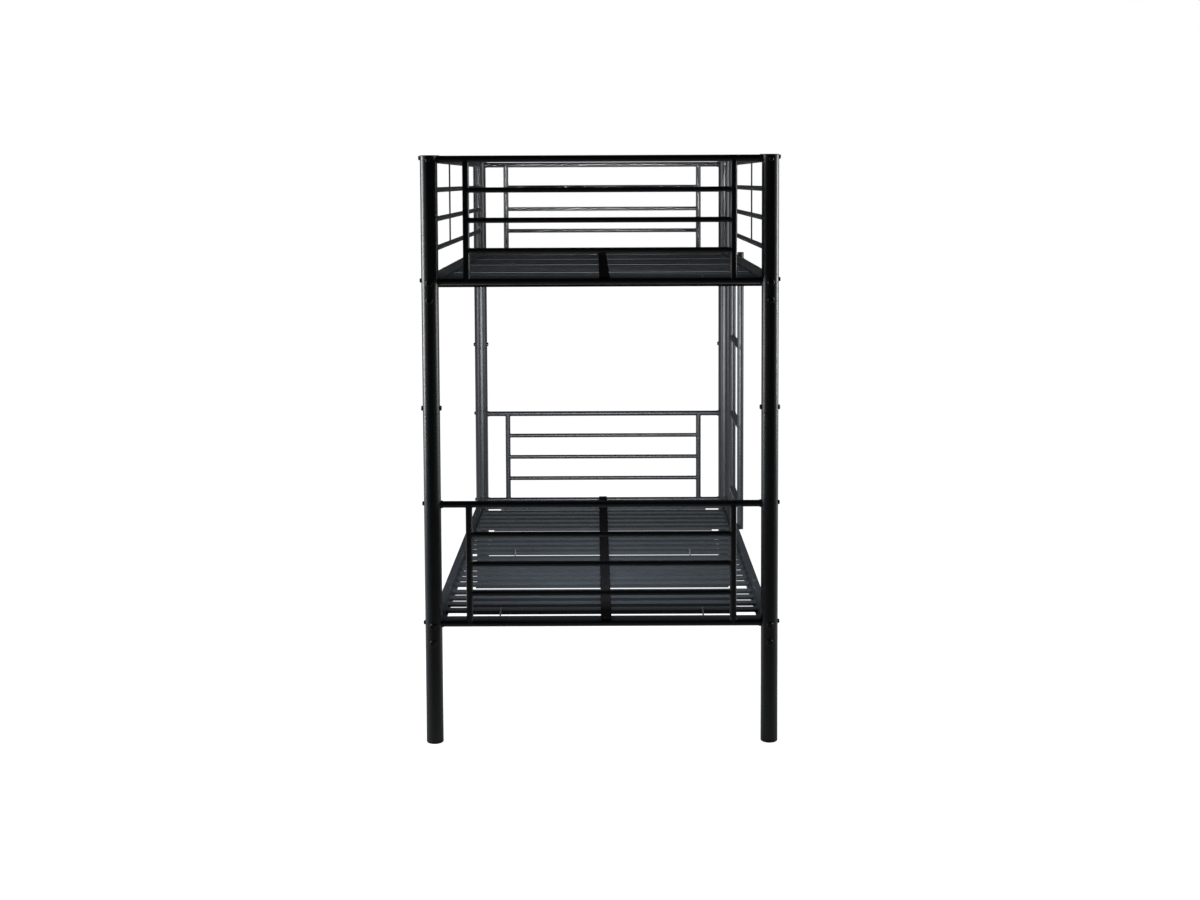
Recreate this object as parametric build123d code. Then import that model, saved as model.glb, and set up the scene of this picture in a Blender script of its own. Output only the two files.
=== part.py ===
from build123d import *
import os
from math import atan2, cos, degrees, radians, sin

# Metal bunk bed with a bolted ladder. Millimetres.
# X runs across the bed, Y along it (foot end at -Y, head end at +Y), Z up from the floor.

# ---------------------------------------------------------------- driving dimensions
POST_SPACING_X = 1003.2      # post centre to post centre, across
POST_SPACING_Y = 1930.0      # post centre to post centre, along
LOWER_DECK_Z = 361.5         # axis height of the lower deck's end rails
UPPER_DECK_Z = 1385.7        # axis height of the upper deck's end rails
PANEL_HEIGHT = 360.0         # deck rail axis to top rail axis of an end panel

POST_DIA = 50.8
POST_WALL = 1.2
POST_ABOVE_LOWER_PANEL = 15.0    # lower tube's end above the lower panel's top rail axis
POST_ABOVE_UPPER_PANEL = 8.3     # upper tube's end above the upper panel's top rail axis
UPPER_TUBE_BELOW_DECK = 390.7    # upper tube's lower end below the upper deck rail axis
SEAM_CHAMFER = 0.7           # on the tube ends that meet at a seam
FOOT_HEIGHT = 10.0
FOOT_EDGE_RADIUS = 4.0
CAP_HEIGHT = 3.0
CAP_EDGE_RADIUS = 1.2
PLUG_DEPTH = 22.0            # how far feet and caps reach into their tubes
PLUG_WALL = 2.5
JOINER_HALF_LENGTH = 70.0
JOINER_WALL = 2.0
JOINT_BOLT_ABOVE_SEAM = 15.0

RAIL_DIA = 20.0              # top rails, deck rails, uprights
RAIL_WALL = 1.2
BAR_DIA = 16.0               # the three thin bars of each panel and guard
BAR_WALL = 1.0
BAR_COUNT = 3
FIRST_BAR_DROP = 91.0        # top rail axis to the first bar
BAR_PITCH = 89.0
UPRIGHT_X = 393.5            # end panel uprights, from the middle

SADDLE_DIA = 23.0            # plastic spacer between a post and a rail's end
SADDLE_LENGTH = 5.0
INSERT_LENGTH = 18.0         # threaded insert in a tube's end

SIDE_RAIL_WIDTH = 20.0
SIDE_RAIL_HEIGHT = 38.0
SIDE_RAIL_WALL = 1.5
SIDE_RAIL_CORNER = 2.5
SIDE_RAIL_INSET = 1.6        # rail's middle plane inside the post axes
SIDE_RAIL_TOP = 16.7         # rail's top above the deck rail axis
BRACKET_THICKNESS = 4.0
BRACKET_WIDTH = 34.0
BRACKET_BELOW_DECK = 68.0

SLAT_COUNT = 23
SLAT_WIDTH = 40.0
SLAT_HEIGHT = 14.5
SLAT_END_HEIGHT = 10.0       # flanges are cut back towards the ends
SLAT_END_TRIM = 66.0
SLAT_WALL = 1.2
SLAT_CROWN = 2.4
SLAT_TOP = 3.5               # slat tops above the deck rail axis
SLAT_END_GAP = 8.0           # slat's end to the ledge's upright leg
FIRST_SLAT = 58.5            # first slat's middle from the foot posts' axes
LAST_SLAT = 68.1             # last slat's middle from the head posts' axes
WIDE_GAP_EXTRA = 25.4
WIDE_GAPS_AFTER = (1, 5, 11, 16, 21)
HOOK_GAPS = (1, 11, 21)      # wide gaps bridged by wire hooks
HOOK_X = 310.0
HOOK_WIRE = 4.5
HOOK_BEND = 10.0
HOOK_LAP = 12.0              # how far a hook reaches past a slat's edge

LEDGE_WIDTH = 18.0
LEDGE_DEPTH = 16.0
LEDGE_THICKNESS = 2.0
LEDGE_END_GAP = 5.6          # ledge's end to the rail bracket
END_ANGLE_DEPTH = 8.0
END_ANGLE_WIDTH = 22.0
END_ANGLE_INSET = 35.0       # end angle's outer face from the post axes

STRAP_WIDTH = 32.0
STRAP_THICKNESS = 1.6
STRAP_RISE_LENGTH = 35.0     # length over which the strap climbs to the end rail
STRAP_MIDDLE_X = 6.0
STRAP_SKEW = 16.0            # sideways drift from end to end
STRAP_CREST = 3.0            # flat of the strap on an end rail, each side of the rail's axis

GUARD_OPENING = 495.0        # right guard's end upright from the head posts' axes
GUARD_UPRIGHT_INSET = 47.0   # other guard uprights from the post axes
STRIP_THICKNESS = 3.0
STRIP_WIDTH = 25.0
STRIP_PITCH = 645.0          # from the foot posts' axes, and from strip to strip

LADDER_DIA = 24.0
LADDER_WALL = 1.5
LADDER_WIDTH = 390.0         # stile axis to stile axis
LADDER_FROM_HEAD = 177.0     # nearer stile's axis from the head posts' axes
LADDER_BOTTOM_BELOW_DECK = 5.5
LADDER_TOP_ABOVE_RAIL = 8.0
RUNG_COUNT = 3
FIRST_RUNG_Z = 441.0
RUNG_PITCH = 304.8
TUBE_CAP_HEIGHT = 3.0
TUBE_CAP_PLUG = 12.0
TUBE_CAP_WALL = 1.2
NUT_CLEARANCE = 1.0          # between a tube cap's plug and a nut in the tube

BOLT_DIA = 6.0               # end rails, guards, ladder
BOLT_HEAD_DIA = 13.0
BIG_BOLT_DIA = 8.0           # side rails, post joints
BIG_HEAD_DIA = 20.0
JOINT_HEAD_DIA = 15.0
HEAD_HEIGHT = 5.0
RUNG_HEAD_DIA = 12.0
RUNG_HEAD_HEIGHT = 3.6
HEAD_ROUNDING = 0.55         # share of a bolt head's height that its rim is rounded over
SOCKET_SIZE = 0.2            # a socket's corner radius as a share of the head's diameter
SOCKET_DEPTH = 0.6           # as a share of the head's height
HEAD_SINK = 0.25             # a head wraps its round seat by this share of the seat's radius
TIP_PAST_NUT = 3.0           # side rail bolts' tips past their nuts
JOINT_BOLT_SHARE = 0.55      # share of the post that a joint bolt spans; its sleeve has the rest
SHANK_SHORT = 2.0            # bolt tips stop short of their insert's end by this
BOLT_CLEARANCE = 0.4         # holes are wider than bolts by this, across
CROSSING_GAP = 0.5           # between two bolts that cross inside a post
NUT_ACROSS_FLATS = 13.0
NUT_HEIGHT = 6.5
BIG_BOLT_SPACING = 51.0      # the two bolts of a side rail bracket
HOLE_PLUG_DIA = 17.0
HOLE_PLUG_HEIGHT = 1.8
HOLE_PLUG_STEM = 8.0
PLUG_PAST_RAIL = 3.0         # a plug's stem past a side rail's wall
PLUG_PAST_POST = 2.0         # a plug's stem past a post's wall
PLUG_FROM_FOOT = 450.0
PLUG_FROM_HEAD = 408.0

# ---------------------------------------------------------------- derived places
half_x = POST_SPACING_X / 2
half_y = POST_SPACING_Y / 2
post_r = POST_DIA / 2
rail_r = RAIL_DIA / 2
bar_r = BAR_DIA / 2
lower_seam_z = LOWER_DECK_Z + PANEL_HEIGHT + POST_ABOVE_LOWER_PANEL
upper_seam_z = UPPER_DECK_Z - UPPER_TUBE_BELOW_DECK
post_top_z = UPPER_DECK_Z + PANEL_HEIGHT + POST_ABOVE_UPPER_PANEL
joint_bolt_z = upper_seam_z + JOINT_BOLT_ABOVE_SEAM
decks = {"lower": LOWER_DECK_Z, "upper": UPPER_DECK_Z}
ends = {"foot": -1, "head": 1}
sides = {"left": -1, "right": 1}

# Bolts that cross inside a post pass above and below each other.
top_cross = (BOLT_DIA + BOLT_DIA + 2 * CROSSING_GAP) / 4
end_bolt_lift = top_cross
guard_bolt_drop = top_cross
deck_cross = (BOLT_DIA + BIG_BOLT_DIA + 2 * CROSSING_GAP) / 4
deck_bolt_lift = deck_cross
big_bolt_drop = deck_cross

rail_end = post_r + SADDLE_LENGTH            # a rail's end from the post axis
bracket_r = post_r + BRACKET_THICKNESS
side_rail_x = half_x - SIDE_RAIL_INSET
side_rail_inner = side_rail_x - SIDE_RAIL_WIDTH / 2
side_rail_outer = side_rail_x + SIDE_RAIL_WIDTH / 2
ledge_leg_x = side_rail_inner - LEDGE_THICKNESS
slat_half = ledge_leg_x - SLAT_END_GAP
ledge_half_y = half_y - bracket_r - LEDGE_END_GAP
ladder_r = LADDER_DIA / 2
stile_x = side_rail_outer + ladder_r
head_stile_y = half_y - LADDER_FROM_HEAD
stile_places = {"foot_side": head_stile_y - LADDER_WIDTH, "head_side": head_stile_y}
guard_end_y = half_y - GUARD_OPENING
ladder_bottom_z = LOWER_DECK_Z - LADDER_BOTTOM_BELOW_DECK
ladder_top_z = UPPER_DECK_Z + SIDE_RAIL_TOP + LADDER_TOP_ABOVE_RAIL
rung_places = [FIRST_RUNG_Z + RUNG_PITCH * i for i in range(RUNG_COUNT)]
ladder_bolt_lift = SIDE_RAIL_TOP / 2          # above the deck rail axis


def bar_places(deck_z):
    """Heights of the three thin bars above one deck."""
    first = deck_z + PANEL_HEIGHT - FIRST_BAR_DROP
    return [first - BAR_PITCH * i for i in range(BAR_COUNT)]


def slat_places():
    """Middles of the slats along Y, with a wider gap after some of them."""
    span = POST_SPACING_Y - FIRST_SLAT - LAST_SLAT
    pitch = (span - WIDE_GAP_EXTRA * len(WIDE_GAPS_AFTER)) / (SLAT_COUNT - 1)
    places = [FIRST_SLAT - half_y]
    for number in range(1, SLAT_COUNT):
        extra = WIDE_GAP_EXTRA if number in WIDE_GAPS_AFTER else 0.0
        places.append(places[-1] + pitch + extra)
    return places


def strip_places(guard_stop):
    """Middles of a guard's strips along Y, as many as fit before its end upright."""
    places = []
    y = STRIP_PITCH - half_y
    while y < guard_stop - STRIP_WIDTH:
        places.append(y)
        y += STRIP_PITCH
    return places


# ---------------------------------------------------------------- basic shapes
MID = (Align.CENTER, Align.CENTER, Align.CENTER)
UP = (Align.CENTER, Align.CENTER, Align.MIN)
SEAM_TURN = 45


def rod(axis, low, high, a, b, radius):
    """Round rod along X, Y or Z from low to high; a and b are its other two coordinates.

    Its seam line is turned away from the places where tubes meet side by side.
    """
    solid = Location((0, 0, 0), (0, 0, SEAM_TURN)) * Cylinder(radius, high - low, align=UP)
    if axis == "X":
        return Location((low, a, b), (0, 90, 0)) * solid
    if axis == "Y":
        return Location((a, low, b), (-90, 0, 0)) * solid
    return Location((a, b, low)) * solid


def pipe(axis, low, high, a, b, radius, wall):
    """Open round tube along an axis."""
    return rod(axis, low, high, a, b, radius) - rod(axis, low, high, a, b, radius - wall)


def block(x0, x1, y0, y1, z0, z1):
    """Box between two corners."""
    centre = ((x0 + x1) / 2, (y0 + y1) / 2, (z0 + z1) / 2)
    return Location(centre) * Box(x1 - x0, y1 - y0, z1 - z0, align=MID)


def post_core(x, y, radius=post_r):
    """The full-height cylinder of a post, for saddle-shaped cuts."""
    return rod("Z", 0, post_top_z + CAP_HEIGHT, x, y, radius)


def solids_of(shape):
    """The separate solids of a shape or of a list of shapes."""
    if isinstance(shape, (list, tuple)):
        found = []
        for one in shape:
            found.extend(solids_of(one))
        return found
    return list(shape.solids())


# ---------------------------------------------------------------- fasteners
def button_bolt(head_dia, head_height, shank_dia, shank_length, seat_r):
    """Socket button bolt pointing along +X; x = 0 is the outermost line of a round seat."""
    sink = seat_r * HEAD_SINK
    head = rod("X", -sink, head_height, 0, 0, head_dia / 2)
    rim = head.edges().filter_by(GeomType.CIRCLE).sort_by(Axis.X)[-1]
    head = fillet(rim, head_height * HEAD_ROUNDING)
    floor_x = head_height * (1 - SOCKET_DEPTH)
    socket = extrude(RegularPolygon(head_dia * SOCKET_SIZE, 6), head_height)
    head -= Location((floor_x, 0, 0), (0, 90, 0)) * socket
    head -= rod("Z", -head_dia, head_dia, -seat_r, 0, seat_r)
    shank = rod("X", -shank_length, floor_x / 2, 0, 0, shank_dia / 2)
    return head + shank


def at_post(shape, x, y, z, turn, radius=post_r):
    """Place a fastener made along +X on a post's surface, turned about Z."""
    angle = radians(turn)
    place = (x + radius * cos(angle), y + radius * sin(angle), z)
    return Location(place, (0, 0, turn)) * shape


def saddle(bolt_shift):
    """Plastic spacer on the +X side of a post at the origin, seated on its surface."""
    body = rod("X", 0, rail_end, 0, 0, SADDLE_DIA / 2)
    body -= rod("Z", -SADDLE_DIA, SADDLE_DIA, 0, 0, post_r)
    body -= rod("X", 0, rail_end, 0, bolt_shift, (BOLT_DIA + BOLT_CLEARANCE) / 2)
    return body


def insert(bolt_shift):
    """Threaded insert in a rail's end, on the +X side of a post at the origin."""
    body = rod("X", rail_end, rail_end + INSERT_LENGTH, 0, 0, rail_r - RAIL_WALL)
    return body - rod("X", rail_end, rail_end + INSERT_LENGTH, 0, bolt_shift, BOLT_DIA / 2)


def hole(axis, x, y, z, dia):
    """Clearance hole through a whole post, for a bolt of this diameter."""
    radius = (dia + BOLT_CLEARANCE) / 2
    if axis == "X":
        return rod("X", x - POST_DIA, x + POST_DIA, y, z, radius)
    return rod("Y", y - POST_DIA, y + POST_DIA, x, z, radius)


# ---------------------------------------------------------------- posts
def corner_list():
    """Name, x and y of the four posts."""
    corners = []
    for end, end_sign in ends.items():
        for side, side_sign in sides.items():
            corners.append((f"{end}_{side}", side_sign * half_x, end_sign * half_y))
    return corners


def post_tube(x, y, low, high):
    """One tube of a post, with a small chamfer on each end that meets another tube."""
    tube = rod("Z", low, high, x, y, post_r)
    rims = tube.edges().filter_by(GeomType.CIRCLE).sort_by(Axis.Z)
    if high < post_top_z:
        tube = chamfer(rims[-1], SEAM_CHAMFER)
    if low > FOOT_HEIGHT:
        rims = tube.edges().filter_by(GeomType.CIRCLE).sort_by(Axis.Z)
        tube = chamfer(rims[0], SEAM_CHAMFER)
    return tube - rod("Z", low, high, x, y, post_r - POST_WALL)


def make_posts(nodes):
    """Three tubes per post, with internal joiners, a foot and a cap."""
    middles = []
    joiners = []
    feet = []
    caps = []
    inner_r = post_r - POST_WALL
    for name, x, y in corner_list():
        lower = post_tube(x, y, FOOT_HEIGHT, lower_seam_z)
        upper = post_tube(x, y, upper_seam_z, post_top_z)
        for tube_deck in (LOWER_DECK_Z, UPPER_DECK_Z):
            holes = [
                hole("X", x, y, tube_deck + deck_bolt_lift, BOLT_DIA),
                hole("X", x, y, tube_deck + PANEL_HEIGHT + end_bolt_lift, BOLT_DIA),
                hole("Y", x, y, tube_deck - big_bolt_drop, BIG_BOLT_DIA),
                hole("Y", x, y, tube_deck - big_bolt_drop - BIG_BOLT_SPACING, BIG_BOLT_DIA),
            ]
            if tube_deck == LOWER_DECK_Z:
                lower -= holes
            else:
                upper -= holes
        upper -= hole("Y", x, y, UPPER_DECK_Z + PANEL_HEIGHT - guard_bolt_drop, BOLT_DIA)
        upper -= hole("X", x, y, joint_bolt_z, BIG_BOLT_DIA)
        nodes[f"post_lower_{name}"] = lower
        nodes[f"post_upper_{name}"] = upper
        middles.append(post_tube(x, y, lower_seam_z, upper_seam_z))
        for seam in (lower_seam_z, upper_seam_z):
            low = seam - JOINER_HALF_LENGTH
            high = seam + JOINER_HALF_LENGTH
            joiner = pipe("Z", low, high, x, y, inner_r, JOINER_WALL)
            if seam == upper_seam_z:
                joiner -= hole("X", x, y, joint_bolt_z, BIG_BOLT_DIA)
            else:
                rail_bolt_z = LOWER_DECK_Z + PANEL_HEIGHT + end_bolt_lift
                joiner -= hole("X", x, y, rail_bolt_z, BOLT_DIA)
            joiners.append(joiner)
        feet.append(make_foot(x, y, inner_r))
        caps.append(make_cap(x, y, inner_r))
    nodes["post_middles"] = middles
    nodes["post_joiners"] = joiners
    nodes["post_feet"] = feet
    nodes["post_caps"] = caps


def make_foot(x, y, inner_r):
    """Plastic foot: a rounded pad under the tube and a hollow plug inside it."""
    pad = Cylinder(post_r, FOOT_HEIGHT, align=UP)
    pad = fillet(pad.edges().sort_by(Axis.Z)[0], FOOT_EDGE_RADIUS)
    plug = pipe("Z", FOOT_HEIGHT, FOOT_HEIGHT + PLUG_DEPTH, 0, 0, inner_r, PLUG_WALL)
    return Location((x, y, 0)) * (pad + plug)


def make_cap(x, y, inner_r):
    """Plastic cap: a disc on the tube's end and a hollow plug inside it, clear of the bolts."""
    disc = Cylinder(post_r, CAP_HEIGHT, align=UP)
    disc = fillet(disc.edges().sort_by(Axis.Z)[-1], CAP_EDGE_RADIUS)
    depth = POST_ABOVE_UPPER_PANEL - end_bolt_lift - BOLT_DIA / 2
    plug = pipe("Z", -depth, 0, 0, 0, inner_r, PLUG_WALL)
    return Location((x, y, post_top_z)) * (disc + plug)


# ---------------------------------------------------------------- end panels
def make_end_panels(nodes):
    """Four identical panels: top rail, deck rail, two uprights and three bars."""
    for end, end_sign in ends.items():
        for level, deck_z in decks.items():
            y = end_sign * half_y
            top_z = deck_z + PANEL_HEIGHT
            reach = half_x - rail_end
            top_rail = pipe("X", -reach, reach, y, top_z, rail_r, RAIL_WALL)
            deck_rail = pipe("X", -reach, reach, y, deck_z, rail_r, RAIL_WALL)
            rails = rod("X", -reach, reach, y, top_z, rail_r)
            rails += rod("X", -reach, reach, y, deck_z, rail_r)
            uprights = []
            upright_cores = []
            for x in (-UPRIGHT_X, UPRIGHT_X):
                uprights.append(pipe("Z", deck_z, top_z, x, y, rail_r, RAIL_WALL) - rails)
                upright_cores.append(rod("Z", deck_z, top_z, x, y, rail_r))
            bars = []
            for z in bar_places(deck_z):
                bar = pipe("X", -UPRIGHT_X, UPRIGHT_X, y, z, bar_r, BAR_WALL)
                bars.append(bar - upright_cores)
            nodes[f"{end}_{level}_top_rail"] = top_rail
            nodes[f"{end}_{level}_deck_rail"] = deck_rail
            nodes[f"{end}_{level}_uprights"] = uprights
            nodes[f"{end}_{level}_bars"] = bars


def make_end_rail_fasteners(saddles, inserts, bolts):
    """One bolt, spacer and insert at each end of each end rail and guard rail."""
    length = POST_DIA + SADDLE_LENGTH + INSERT_LENGTH - SHANK_SHORT
    bolt = button_bolt(BOLT_HEAD_DIA, HEAD_HEIGHT, BOLT_DIA, length, post_r)
    end_rails = []
    for deck_z in decks.values():
        end_rails.append((deck_z, deck_bolt_lift))
        end_rails.append((deck_z + PANEL_HEIGHT, end_bolt_lift))
    for _, x, y in corner_list():
        outward = 0 if x > 0 else 180
        for z, lift in end_rails:
            inward = Location((x, y, z), (0, 0, outward + 180))
            saddles.append(inward * saddle(lift))
            inserts.append(inward * insert(lift))
            bolts.append(at_post(bolt, x, y, z + lift, outward))
    guard_z = UPPER_DECK_Z + PANEL_HEIGHT
    for x_sign, y_sign in ((-1, -1), (-1, 1), (1, -1)):
        x = x_sign * half_x
        y = y_sign * half_y
        outward = 90 * y_sign
        inward = Location((x, y, guard_z), (0, 0, outward + 180))
        saddles.append(inward * saddle(-guard_bolt_drop))
        inserts.append(inward * insert(-guard_bolt_drop))
        bolts.append(at_post(bolt, x, y, guard_z - guard_bolt_drop, outward))


# ---------------------------------------------------------------- side rails
def box_tube(width, height, wall, corner, low, high):
    """Rectangular tube along Y, centred on x = 0 and z = 0."""
    outer = RectangleRounded(width, height, corner)
    inner = RectangleRounded(width - 2 * wall, height - 2 * wall, corner - wall)
    tube = extrude(outer - inner, high - low)
    return Location((0, high, 0), (90, 0, 0)) * tube


def make_side_rails(nodes, plugs):
    """Four side rails on saddle brackets, with plugs, and holes for the ladder's bolts."""
    centre_drop = SIDE_RAIL_TOP - SIDE_RAIL_HEIGHT / 2
    plug = Cylinder(HOLE_PLUG_DIA / 2, HOLE_PLUG_HEIGHT, align=UP)
    plug = fillet(plug.edges().sort_by(Axis.Z)[-1], HOLE_PLUG_HEIGHT * 0.5)
    plug += rod("Z", -SIDE_RAIL_WALL - PLUG_PAST_RAIL, 0, 0, 0, HOLE_PLUG_STEM / 2)
    for level, deck_z in decks.items():
        for side, sign in sides.items():
            x = sign * side_rail_x
            rail = box_tube(SIDE_RAIL_WIDTH, SIDE_RAIL_HEIGHT, SIDE_RAIL_WALL,
                            SIDE_RAIL_CORNER, -half_y, half_y)
            rail = Location((x, 0, deck_z + centre_drop)) * rail
            for y in (-half_y, half_y):
                rail -= post_core(sign * half_x, y, bracket_r)
            top_z = deck_z + SIDE_RAIL_TOP
            for y in (PLUG_FROM_FOOT - half_y, half_y - PLUG_FROM_HEAD):
                rail -= rod("Z", top_z - 2 * SIDE_RAIL_WALL, top_z + SIDE_RAIL_WALL, x, y,
                            HOLE_PLUG_STEM / 2)
                plugs.append(Location((x, y, top_z)) * plug)
            if side == "right":
                for y in stile_places.values():
                    rail -= rod("X", x - SIDE_RAIL_WIDTH, x + SIDE_RAIL_WIDTH, y,
                                deck_z + ladder_bolt_lift, (BOLT_DIA + BOLT_CLEARANCE) / 2)
            if level == "upper":
                last = half_y - GUARD_UPRIGHT_INSET if side == "left" else guard_end_y
                for y in (GUARD_UPRIGHT_INSET - half_y, last):
                    rail -= rod("Z", top_z - 2 * SIDE_RAIL_HEIGHT, top_z + SIDE_RAIL_WALL,
                                sign * half_x, y, (BOLT_DIA + BOLT_CLEARANCE) / 2)
            nodes[f"side_rail_{level}_{side}"] = rail


def make_brackets(nodes):
    """Curved bracket plates between posts and side rails, their bolts and weld nuts."""
    brackets = []
    bolts = []
    nuts = []
    length = POST_DIA + BRACKET_THICKNESS + NUT_HEIGHT + TIP_PAST_NUT
    bolt = button_bolt(BIG_HEAD_DIA, HEAD_HEIGHT, BIG_BOLT_DIA, length, post_r)
    nut = extrude(RegularPolygon(NUT_ACROSS_FLATS / 2, 6, major_radius=False), NUT_HEIGHT)
    nut -= Cylinder(BIG_BOLT_DIA / 2, 3 * NUT_HEIGHT)
    nut = Location((bracket_r, 0, 0), (0, 90, 0)) * nut
    for _, x, y in corner_list():
        outward = 90 if y > 0 else -90
        for deck_z in decks.values():
            low = deck_z - BRACKET_BELOW_DECK
            high = deck_z + SIDE_RAIL_TOP
            plate = pipe("Z", low, high, 0, 0, bracket_r, BRACKET_THICKNESS)
            plate &= block(0, POST_DIA, -BRACKET_WIDTH / 2, BRACKET_WIDTH / 2, low, high)
            for drop in (big_bolt_drop, big_bolt_drop + BIG_BOLT_SPACING):
                z = deck_z - drop
                plate -= rod("X", 0, POST_DIA, 0, z, (BIG_BOLT_DIA + BOLT_CLEARANCE) / 2)
                bolts.append(at_post(bolt, x, y, z, outward))
                nuts.append(Location((x, y, z), (0, 0, outward + 180)) * nut)
            brackets.append(Location((x, y, 0), (0, 0, outward + 180)) * plate)
    nodes["rail_brackets"] = brackets
    nodes["side_rail_bolts"] = bolts
    nodes["side_rail_nuts"] = nuts


def make_ledges(nodes):
    """Angle ledges that carry the slats, and cross angles under the first and last slat."""
    ledges = []
    cross = []
    for deck_z in decks.values():
        ledge_top = deck_z + SLAT_TOP - SLAT_END_HEIGHT
        for sign in sides.values():
            inner = sign * (side_rail_inner - LEDGE_WIDTH)
            outer = sign * side_rail_inner
            leg = sign * ledge_leg_x
            flat = block(min(inner, outer), max(inner, outer), -ledge_half_y, ledge_half_y,
                         ledge_top - LEDGE_THICKNESS, ledge_top)
            upright = block(min(leg, outer), max(leg, outer), -ledge_half_y, ledge_half_y,
                            ledge_top - LEDGE_DEPTH, ledge_top)
            ledges.append(flat + upright)
        cross_top = deck_z + SLAT_TOP - SLAT_HEIGHT
        for sign in ends.values():
            outer = sign * (half_y - END_ANGLE_INSET)
            leg = outer - sign * LEDGE_THICKNESS
            inner = outer - sign * END_ANGLE_WIDTH
            upright = block(-ledge_leg_x, ledge_leg_x, min(outer, leg), max(outer, leg),
                            cross_top - END_ANGLE_DEPTH, cross_top)
            flat = block(-ledge_leg_x, ledge_leg_x, min(outer, inner), max(outer, inner),
                         cross_top - LEDGE_THICKNESS, cross_top)
            cross.append(upright + flat)
    nodes["slat_ledges"] = ledges
    nodes["deck_end_angles"] = cross


# ---------------------------------------------------------------- slats, hooks, straps
def slat_solid():
    """Roll-formed slat: a crowned channel along X with its flanges cut back at the ends."""
    half = SLAT_WIDTH / 2
    shoulder = -SLAT_CROWN
    outline = [
        ThreePointArc((-half, shoulder), (0, 0), (half, shoulder)),
        Line((half, shoulder), (half, -SLAT_HEIGHT)),
        Line((half, -SLAT_HEIGHT), (half - SLAT_WALL, -SLAT_HEIGHT)),
        Line((half - SLAT_WALL, -SLAT_HEIGHT), (half - SLAT_WALL, shoulder - SLAT_WALL)),
        ThreePointArc((half - SLAT_WALL, shoulder - SLAT_WALL), (0, -SLAT_WALL),
                      (SLAT_WALL - half, shoulder - SLAT_WALL)),
        Line((SLAT_WALL - half, shoulder - SLAT_WALL), (SLAT_WALL - half, -SLAT_HEIGHT)),
        Line((SLAT_WALL - half, -SLAT_HEIGHT), (-half, -SLAT_HEIGHT)),
        Line((-half, -SLAT_HEIGHT), (-half, shoulder)),
    ]
    section = Plane.YZ * make_face(Curve() + outline)
    solid = extrude(section, slat_half, both=True)
    for sign in (-1, 1):
        outer = sign * slat_half
        inner = outer - sign * SLAT_END_TRIM
        solid -= block(min(outer, inner), max(outer, inner), -half, half,
                       -SLAT_HEIGHT, -SLAT_END_HEIGHT)
    return solid


def hook_solid(pitch):
    """Bent wire from under one slat's flange, across the gap, onto the next slat."""
    wire_r = HOOK_WIRE / 2
    half = SLAT_WIDTH / 2
    under = -SLAT_HEIGHT - wire_r
    over = wire_r
    points = [
        (0, half - HOOK_LAP, under),
        (0, half + HOOK_LAP, under),
        (0, pitch - half - HOOK_LAP, over),
        (0, pitch - half + HOOK_LAP, over),
    ]
    path = FilletPolyline(*points, radius=HOOK_BEND)
    start = Plane(origin=path @ 0, z_dir=path % 0)
    return sweep(start * Circle(wire_r), path=path)


def make_slats(nodes):
    """Both slat decks and the wire hooks in their wide gaps."""
    places = slat_places()
    slat = slat_solid()
    hooks = []
    for level, deck_z in decks.items():
        top = deck_z + SLAT_TOP
        nodes[f"slats_{level}"] = [Location((0, y, top)) * slat for y in places]
        for number in HOOK_GAPS:
            y = places[number - 1]
            hook = hook_solid(places[number] - y)
            for x in (-HOOK_X, HOOK_X):
                hooks.append(Location((x, y, top)) * hook)
    nodes["slat_hooks"] = hooks


def make_straps(nodes):
    """Webbing strap along each deck, from the top of one end rail to the other."""
    thick = STRAP_THICKNESS
    for level, deck_z in decks.items():
        low = SLAT_TOP
        flat_y = half_y - STRAP_RISE_LENGTH - rail_r
        outline = [
            (-half_y, rail_r + thick),
            (-half_y, rail_r),
            (-half_y + STRAP_CREST, rail_r),
            (-flat_y, low),
            (flat_y, low),
            (half_y - STRAP_CREST, rail_r),
            (half_y, rail_r),
            (half_y, rail_r + thick),
            (half_y - STRAP_CREST, rail_r + thick),
            (flat_y, low + thick),
            (-flat_y, low + thick),
            (-half_y + STRAP_CREST, rail_r + thick),
        ]
        side_view = Plane.YZ * make_face(Polyline(*outline, close=True))
        band = extrude(side_view, STRAP_WIDTH / 2, both=True)
        skew = degrees(atan2(STRAP_SKEW, POST_SPACING_Y))
        band = Location((STRAP_MIDDLE_X, 0, deck_z), (0, 0, skew)) * band
        for sign in ends.values():
            band -= rod("X", -2 * STRAP_WIDTH, 2 * STRAP_WIDTH, sign * half_y, deck_z, rail_r)
        nodes[f"strap_{level}"] = band


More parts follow.
